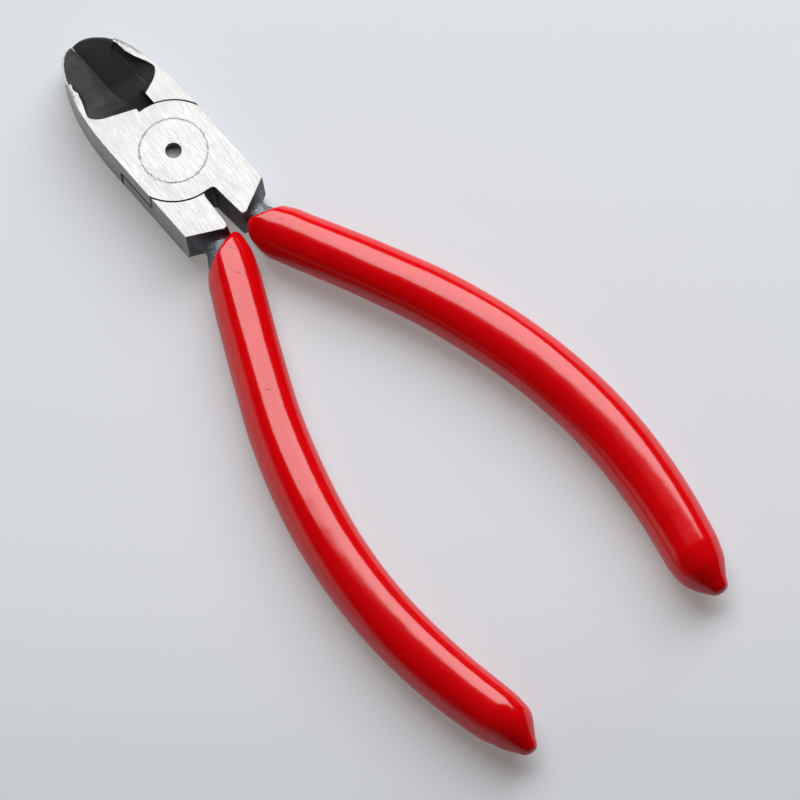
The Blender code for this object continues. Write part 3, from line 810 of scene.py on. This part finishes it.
# The wheel's edge left a step in the right hollow. A light line is painted along it: a painted highlight on
# the step's edge.
step_highlight = ramp(tree, apart(tree, at["X"], STONE_MARK_OUT), 0.00004, 0.00012, 1, 0)
step_highlight = times(tree, step_highlight, ramp(tree, at["Y"], 0.0235, 0.0200))
step_highlight = times(tree, step_highlight, ramp(tree, at["Y"], 0.0135, 0.0145))
colour = tint(tree, colour, step_highlight, 0.5, STEP_HIGHLIGHT)
# The outline of the left jaw and the land at the tip are worn bare.
ragged = times(tree, even_noise(tree, place, 1600, 2.0), 0.0005)
worn = math_node(tree, "ADD", use(tree, nose_rim)["Inward"], ragged)
worn = ramp(tree, worn, 0.00056, 0.00080, 1, 0)
worn = times(tree, worn, ramp(tree, at["X"], -0.0016, -0.0006, 1, 0.12))
worn = times(tree, worn, ramp(tree, at["Y"], 0.0190, 0.0205))
off_land = math_node(tree, "ABSOLUTE", math_node(tree, "ADD", at["X"], 0.0001))
tip_land = ramp(tree, off_land, 0.00004, 0.00011, 1, 0)
tip_land = times(tree, tip_land, ramp(tree, at["Y"], 0.0298, 0.0302))
bare = math_node(tree, "MAXIMUM", worn, tip_land)
# The notch and its surroundings are painted near black and made fully rough: painted shade standing in for
# the notch's depth.
notch_end = BOSS_RADIUS + NOTCH_LENGTH
notch_shade = ramp(tree, at["Y"], notch_end, notch_end + 0.0012, 1, 0)
notch_shade = times(tree, notch_shade, math_node(tree, "GREATER_THAN", at["Y"], 0.0))
off_middle = math_node(tree, "ABSOLUTE", at["X"])
notch_shade = times(tree, notch_shade, ramp(tree, off_middle, NOTCH_WIDTH, NOTCH_WIDTH + 0.0008, 1, 0))
colour = mix_colour(tree, notch_shade, colour, JOINT_AND_SHADE_BLACK)
colour = mix_colour(tree, bare, colour, BARE_STEEL)
metallic = times(tree, bare, 0.25)
roughness = mix_value(tree, notch_shade, ramp(tree, skin["Mottle"], 0, 1, 0.42, 0.54), 1.0)
feed(tree, shader, {"Base Color": colour, "Roughness": roughness, "Metallic": metallic})
bump(tree, shader, skin["Height"], 0.00004)

FORGED_SCALE = (0.022, 0.027, 0.038, 1), (0.054, 0.064, 0.082, 1)
FORGED_SHEEN = (0.36, 0.405, 0.47, 1)
FORGED_GRIT = (0.36, 0.40, 0.45, 1)

forged_steel, tree, shader = new_material("forged_steel")
skin = use(tree, scale_skin, Grain=3000.0)
colour = mix_colour(tree, skin["Mottle"], *FORGED_SCALE)
# Faces that look upward are painted lighter and bluer: a painted sheen where they face the light. They are
# also made smoother and partly metallic.
upward = split(tree, add(tree, "NewGeometry").outputs["Normal"])["Z"]
rubbed = ramp(tree, upward, 0.35, 0.95)
painted_sheen = times(tree, rubbed, ramp(tree, skin["Height"], 0.43, 0.58))
colour = tint(tree, colour, painted_sheen, 0.9, FORGED_SHEEN)
colour = tint(tree, colour, skin["Grit"], 0.7, FORGED_GRIT)
roughness = ramp(tree, skin["Mottle"], 0, 1, 0.38, 0.50)
roughness = math_node(tree, "SUBTRACT", roughness, times(tree, rubbed, 0.12))
metallic = times(tree, painted_sheen, 0.35)
feed(tree, shader, {"Base Color": colour, "Roughness": roughness, "Metallic": metallic})
feed(tree, shader, {"Specular IOR Level": 0.6})
bump(tree, shader, skin["Height"], 0.00012)

SLOT_SCALE_PAINTED_LIGHT = (0.21, 0.208, 0.214, 1), (0.34, 0.336, 0.344, 1)
SLOT_GRIT = (0.02, 0.02, 0.02, 1)

# Forged steel on the slot's walls and in the rivet's centre hole, painted far lighter than on the necks:
# painted light on faces that lie in shade.
slot_steel_painted_light, tree, shader = new_material("slot_steel_painted_light")
skin = use(tree, scale_skin, Grain=3000.0)
colour = mix_colour(tree, skin["Mottle"], *SLOT_SCALE_PAINTED_LIGHT)
colour = tint(tree, colour, skin["Grit"], 0.3, SLOT_GRIT)
roughness = ramp(tree, skin["Mottle"], 0, 1, 0.50, 0.62)
feed(tree, shader, {"Base Color": colour, "Roughness": roughness})
bump(tree, shader, skin["Height"], 0.00002)

for node, side, body, slot in (
    ("rear_half", REAR, "rear_lever", "rear_steel"),
    ("front_half", FRONT, "front_lever", "front_steel"),
):
    half = steel_half(node + "_steel", side)
    dress(half, [ground_steel, side_steel, hollow_steel, forged_steel, slot_steel_painted_light], finish_of)
    break_edges(half, EDGE_BREAK)
    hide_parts(node)
    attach(half, body)


# The pivot rivet. It is turned from steel with a countersunk head at each end, pressed tight and ground
# flush with the faces of the head. A drilled centre is left in its front end.
CENTRE_HOLE_RADIUS = 0.00152
CENTRE_HOLE_DEPTH = 0.0014
CENTRE_HOLE_BREAK = 0.00006
CENTRE_HOLE_POINT = 0.0004  # the drill's cone
FLUSH_LIP = 0.00006  # the pressed head spreads into the broken edge of its bore

hole_floor = HEAD_THICKNESS - CENTRE_HOLE_DEPTH
profile = [(RIVET_RADIUS + FLUSH_LIP, 0), (RIVET_RADIUS, FLUSH_LIP / 2)] + rivet_profile(0, 0)[2:-2] + [
    (RIVET_RADIUS, HEAD_THICKNESS - FLUSH_LIP / 2),
    (RIVET_RADIUS + FLUSH_LIP, HEAD_THICKNESS),
    (CENTRE_HOLE_RADIUS + CENTRE_HOLE_BREAK, HEAD_THICKNESS),
    (CENTRE_HOLE_RADIUS, HEAD_THICKNESS - CENTRE_HOLE_BREAK),
    (CENTRE_HOLE_RADIUS * 0.97, hole_floor),
    (CENTRE_HOLE_RADIUS * 0.10, hole_floor - CENTRE_HOLE_POINT),
]
rivet = turned("pivot_rivet_steel", profile)


def in_centre_hole(polygon):
    """1 for the faces of the drilled centre, 0 for the rest of the rivet."""
    reach = max(math.hypot(*rivet.data.vertices[i].co[:2]) for i in polygon.vertices)
    return int(reach < CENTRE_HOLE_RADIUS + SLACK)


dress(rivet, [ground_steel, slot_steel_painted_light], in_centre_hole)
pick(rivet)
bpy.ops.object.shade_smooth_by_angle(angle=math.radians(25))
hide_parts("pivot_rivet")
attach(rivet, "rear_lever")


# The grip coats. Each handle was dipped in red vinyl, which set to a glossy skin about a millimetre thick,
# with a rounded lip at its mouth and a drip at its end.
COAT_FIT = 0.0003
COAT_WALL = 0.0010
COAT_EDGE = 0.00025
COAT_LIP = 0.0009
DRIP_LENGTH = 0.0092
# The drip's girth, as a share of the coat's, at shares of its length from the tip.
DRIP_PROFILE = (
    (0, 0.003, 0.012, 0.03, 0.06, 0.11, 0.22, 0.33, 0.44, 0.55, 0.66, 0.77, 0.88, 1),
    (0, 0.07, 0.14, 0.21, 0.275, 0.335, 0.45, 0.585, 0.705, 0.81, 0.885, 0.935, 0.97, 1),
)
LIP_FADE = 0.014
MOUTH_SECTION = (0.0026, 0.0036)  # half width and half height inside the mouth
MOUTH_RUN = 0.010
COAT_SWELL_START = -0.0015
COAT_SWELL = 0.006  # the coat reaches its full girth in this length
COAT_SIDE = 0.0001  # and is this much wider than high, to each side
COAT_FULL_WIDTH = 0.005
# Where the rings of the lip lie, as shares of its length, and how many rings there are past it.
LIP_RINGS = (0, 0.02, 0.06, 0.12, 0.2, 0.3, 0.42, 0.56, 0.72, 0.88)
BORE_RINGS, SKIN_RINGS, DRIP_RINGS = 40, 150, 30
DRIP_CROWDING = 1.6  # the rings of the drip crowd towards its tip
DRIP_END = 0.00002
# How far back from the head the lip lies, in millimetres, at every 30 degrees round the handle from its
# outer side over the top.
REAR_LIP = (3.0, 2.9, 1.7, 0.1, -1.55, -2.6, -2.4, -1.8, -0.9, 0.4, 1.8, 2.7)
FRONT_LIP = (1.6, 2.1, 1.4, -0.1, -1.7, -1.3, 0.0, 0.5, 0.8, 0.9, 1.0, 1.2)
# The dip set thicker in some places than in others. How much each coat's outer and inner sides stand out
# from an even skin, in millimetres, at distances along the handle in millimetres.
COAT_STATIONS = (-3, 2, 4, 7, 12, 20, 30, 45, 60, 75, 90, 102, 106, 109, 112, 115)
REAR_COAT = (
    (0.0, -0.25, -0.65, -0.80, -0.52, -0.26, -0.04, -0.05, 0.12, 0.28, 0.38, 0.30, 0.20, 0.20, 0.70, 1.0),
    (0.3, 0.40, 0.55, 0.58, 0.48, 0.30, 0.24, 0.34, 0.04, -0.10, 0.04, -0.18, -0.45, -0.30, -0.75, -1.0),
)
FRONT_COAT = (
    (0.1, 0.05, -0.30, -0.36, -0.05, 0.38, 0.58, 0.36, 0.36, 0.45, 0.30, 0.08, 0.02, 0.08, -0.35, -0.6),
    (0.6, 0.70, 0.75, 0.68, 0.55, 0.32, 0.40, 0.64, 0.50, 0.30, 0.32, 0.17, 0.05, 0.38, 1.15, 1.6),
)


def through(stations, values, place):
    """A smooth curve through values given at stations."""
    spans = range(len(stations) - 1)
    i = max(k for k in spans if place >= stations[k] or k == 0)
    slopes = [(values[k + 1] - values[k]) / (stations[k + 1] - stations[k]) for k in spans]
    start = (slopes[max(i - 1, 0)] + slopes[i]) / 2
    end = (slopes[i] + slopes[min(i + 1, len(slopes) - 1)]) / 2
    run = stations[i + 1] - stations[i]
    share = min(max((place - stations[i]) / run, 0), 1)
    rise = ease(share)
    swing = share * (1 - share) * ((1 - share) * start - share * end) * run
    return blend(values[i], values[i + 1], rise) + swing


def round_the_lip(reaches, turn):
    """A smooth closed curve through the lip's reaches, in metres."""
    count = len(reaches)
    step = turn / (2 * math.pi) * count
    i, share = int(step) % count, step % 1
    a, b, c, d = (reaches[(i + k) % count] for k in (-1, 0, 1, 2))
    curve = b + 0.5 * share * (c - a + share * (2 * a - 5 * b + 4 * c - d + share * (3 * (b - c) + d - a)))
    return curve / 1000


def coat_section(along):
    """Half width and half height of the coat's outside."""
    lip = min(along / COAT_LIP, 1)
    wall = COAT_FIT + blend(COAT_EDGE, COAT_WALL, math.sqrt(1 - (1 - lip) ** 2))
    drip = through(*DRIP_PROFILE, min((HANDLE_LENGTH - along) / DRIP_LENGTH, 1))
    past_mouth = ease(along / MOUTH_RUN)
    width, height = (blend(start, core_radius(along), past_mouth) for start in MOUTH_SECTION)
    full = ease((along - COAT_SWELL_START) / COAT_SWELL)
    width = max(width, blend(width, CORE_RADII[0] + COAT_SIDE, full))
    height = max(height, blend(height, CORE_RADII[0], full))
    return (width + wall) * drip, (height + wall) * drip


def coat_ring(side, along, half_width, half_height, reaches, form=None):
    """A ring of the coat, drawn forward or back at each point near the mouth."""
    points = []
    hold = 1 - ease(along / LIP_FADE)
    for i in range(RING_POINTS):
        turn = 2 * math.pi * i / RING_POINTS
        here = along + hold * round_the_lip(reaches, turn)
        width = half_width
        if form:
            bulge = through(COAT_STATIONS, form[0 if math.cos(turn) > 0 else 1], here * 1000) / 1000
            width += bulge * min(half_width / COAT_FULL_WIDTH, 1)
        points.append(beside_line(side, here, width * math.cos(turn), half_height * math.sin(turn)))
    return points


def grip_coat(name, side, reaches, form):
    """One skin: up the bore from the end of the core, out round the lip and down the outside."""
    rings = []
    for i in range(BORE_RINGS + 1):
        along = (CORE_LENGTH + COAT_FIT) * (1 - i / BORE_RINGS)
        width, height = core_section(along)
        rings.append(coat_ring(side, along, width + COAT_FIT, height + COAT_FIT, reaches))
    outside = [COAT_LIP * share for share in LIP_RINGS]
    outside += [blend(COAT_LIP, HANDLE_LENGTH - DRIP_LENGTH, i / SKIN_RINGS) for i in range(SKIN_RINGS)]
    to_tip = [(1 - i / DRIP_RINGS) ** DRIP_CROWDING for i in range(DRIP_RINGS)]
    outside += [HANDLE_LENGTH - DRIP_LENGTH * share for share in to_tip] + [HANDLE_LENGTH - DRIP_END]
    for along in outside:
        rings.append(coat_ring(side, along, *coat_section(along), reaches, form))
    return wrapped(name, rings)


VINYL_RED = (0.70, 0.0005, 0.003, 1), (0.79, 0.0007, 0.004, 1)
VINYL_PIT = (0.12, 0.002, 0.004, 1)
VINYL_CREASE = (0.14, 0.002, 0.004, 1)
# Creases and nicks from use, on the upper side: place in millimetres, turn in degrees, half length and half
# width in millimetres.
CREASES = (
    (-3.81, -21.75, -62, 0.85, 0.08),
    (-6.25, -26.15, -60, 0.80, 0.07),
    (-16.60, -47.54, -45, 0.70, 0.07),
    (6.95, -23.23, 30, 0.20, 0.16),
    (-9.31, -26.64, 0, 0.16, 0.14),
    (14.84, -47.45, 20, 0.18, 0.15),
    (21.15, -81.69, 0, 0.18, 0.15),
    (30.60, -88.46, 0, 0.16, 0.14),
    (-26.74, -101.05, 0, 0.18, 0.16),
)

red_vinyl, tree, shader = new_material("red_vinyl")
place = place_in(tree)
waves = even_noise(tree, place, 170, 1.0)
peel = even_noise(tree, place, 1400, 2.0)
pits = ramp(tree, even_noise(tree, place, 1100, 2.0), 0.76, 0.80)
colour = mix_colour(tree, waves, *VINYL_RED)
colour = tint(tree, colour, pits, 0.7, VINYL_PIT)
creases = ramp(tree, split(tree, place)["Z"], 0.006, 0.007)
curl = math_node(tree, "SUBTRACT", even_noise(tree, place, 700, 2.0), 0.5)
curl = times(tree, curl, 0.0009)
marked = 0.0
for x, y, turn, length, width in CREASES:
    along = Vector((math.cos(math.radians(turn)), math.sin(math.radians(turn)), 0))
    across = Vector((-along.y, along.x, 0))
    spot = Vector((x, y, 0)) / 1000
    reach = []
    for axis, half in ((along, length / 1000), (across, width / 1000)):
        off = math_node(tree, "ADD", dot(tree, place, axis), curl)
        reach.append(ramp(tree, apart(tree, off, spot.dot(axis)), half * 0.4, half, 1, 0))
    marked = math_node(tree, "MAXIMUM", marked, times(tree, *reach))
creases = times(tree, creases, marked)
colour = tint(tree, colour, creases, 0.8, VINYL_CREASE)
upward = split(tree, add(tree, "NewGeometry").outputs["Normal"])["Z"]
rubbed_dull = ramp(tree, upward, 0.40, 0.72, 0.22, 0.0)
roughness = math_node(tree, "ADD", ramp(tree, peel, 0.3, 0.7, 0.12, 0.15), rubbed_dull)
feed(tree, shader, {"Base Color": colour, "Roughness": roughness, "Specular IOR Level": 0.62})
relief = bump(tree, shader, waves, 0.00005)
relief = bump(tree, shader, creases, 0.00003, relief)
bump(tree, shader, peel, 0.000002, relief)

for node, side, body, slot, reaches, form in (
    ("rear_grip_coat", REAR, "rear_lever", "rear_vinyl", REAR_LIP, REAR_COAT),
    ("front_grip_coat", FRONT, "front_lever", "front_vinyl", FRONT_LIP, FRONT_COAT),
):
    coat = grip_coat(node + "_skin", side, reaches, form)
    dress(coat, [red_vinyl])
    pick(coat)
    bpy.ops.object.shade_smooth_by_angle(angle=math.radians(60))
    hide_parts(node)
    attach(coat, body)


# The table the tool lies on, a plain pale sheet, with one large soft light behind the tool and a long lens
# above its handles.
VIEW_TURN = 0.705  # the camera looks this far to the right of +Y
VIEW_DOWN = 1.261  # and this far below the horizon
VIEW_DISTANCE = 0.7402
VIEW_TARGET = Vector((0.001766, -0.063388, 0.005))
TABLE_PAINT = (0.707, 0.764, 0.841, 1)
# Light painted onto the table for the camera and for reflections: a warm glow that lifts and warms the
# shadows. It is dimmer on the near side of the target, where the lamp's light falls off. The table's paint
# is bluer to make up for the glow's warmth.
GLOW_NEAR, GLOW_FAR = (0.52, 0.493, 0.472, 1), (0.742, 0.706, 0.678, 1)
GLOW_RUN = (0.093, 0.022)
GLOW_SHARE = 0.32

bpy.ops.mesh.primitive_plane_add(size=6)
floor = bpy.context.object
floor.name = "table"
away = Vector((math.sin(VIEW_TURN), math.cos(VIEW_TURN), 0))  # from the camera across the table
floor_paint, tree, shader = new_material("table_top")
feed(tree, shader, {"Base Color": TABLE_PAINT, "Roughness": 0.6})
across_table = dot(tree, place_in(tree), away)
glow_start, glow_end = (VIEW_TARGET.dot(away) - reach for reach in GLOW_RUN)
glow = mix_colour(tree, ramp(tree, across_table, glow_start, glow_end), GLOW_NEAR, GLOW_FAR)
# The glow is painted light: an emission mixed in for camera and glossy rays.
seen = add(tree, "LightPath").outputs
seen = math_node(tree, "MAXIMUM", seen["Is Camera Ray"], seen["Is Glossy Ray"])
lit = add(tree, "Emission", {"Color": glow})
share = times(tree, seen, GLOW_SHARE)
mixed = add(tree, "MixShader", {0: share, 1: shader.outputs[0], 2: lit.outputs[0]})
feed(tree, tree.nodes["Material Output"], {"Surface": mixed.outputs[0]})
floor.data.materials.append(floor_paint)

LIGHT_TILT = math.radians(37)  # off the zenith
LIGHT_TURN = math.radians(8)  # to the right of straight away from the camera
LIGHT_ROLL = math.radians(35)  # its near edge runs up to the right
LIGHT_SIZE = (1.40, 0.70)
LIGHT_SHIFT = (0.02, 0.045)
LIGHT_DISTANCE = 1.0
LIGHT_POWER = 14.85

bpy.ops.object.light_add(type="AREA")
lamp = bpy.context.object
lamp.data.shape = "RECTANGLE"
lamp.data.size, lamp.data.size_y = LIGHT_SIZE
lamp.data.energy = LIGHT_POWER
aim = Matrix.Rotation(-VIEW_TURN - LIGHT_TURN, 3, "Z") @ Matrix.Rotation(-LIGHT_TILT, 3, "X")
turn = aim @ Matrix.Rotation(LIGHT_ROLL, 3, "Z")
lamp.rotation_euler = turn.to_euler()
lamp.location = VIEW_TARGET + turn @ Vector((*LIGHT_SHIFT, LIGHT_DISTANCE))

right = Vector((math.cos(VIEW_TURN), -math.sin(VIEW_TURN), 0))
up = Vector((0, 0, 1))
ROOM = (0.012, 0.012, 0.013, 1)
# The lit foot of a wall on the left, and a dim one on the camera's side: direction, where the light starts
# and is full, and colour.
WALLS = (
    (0.163 * away - 0.925 * right - 0.342 * up, 0.59, 0.80, (0.70, 0.69, 0.68, 1)),
    (-0.83 * away - 0.45 * right - 0.33 * up, 0.74, 0.86, (0.17, 0.165, 0.17, 1)),
)

world = bpy.data.worlds.new("studio")
bpy.context.scene.world = world
world.use_nodes = True
tree = world.node_tree
direction = add(tree, "TexCoord").outputs["Generated"]
colour = ROOM
for wall, start, full, paint in WALLS:
    colour = mix_colour(tree, ramp(tree, dot(tree, direction, wall), start, full), colour, paint)
feed(tree, tree.nodes["Background"], {"Color": colour})

bpy.ops.object.camera_add()
camera = bpy.context.object
camera.data.lens = 180
camera.data.sensor_width = 36
camera.rotation_euler = (math.pi / 2 - VIEW_DOWN, 0, -VIEW_TURN)
line_of_sight = away * math.cos(VIEW_DOWN) - up * math.sin(VIEW_DOWN)
camera.location = VIEW_TARGET - VIEW_DISTANCE * line_of_sight
camera.data.clip_end = 20
bpy.context.scene.camera = camera
bpy.context.scene.view_settings.view_transform = "Standard"
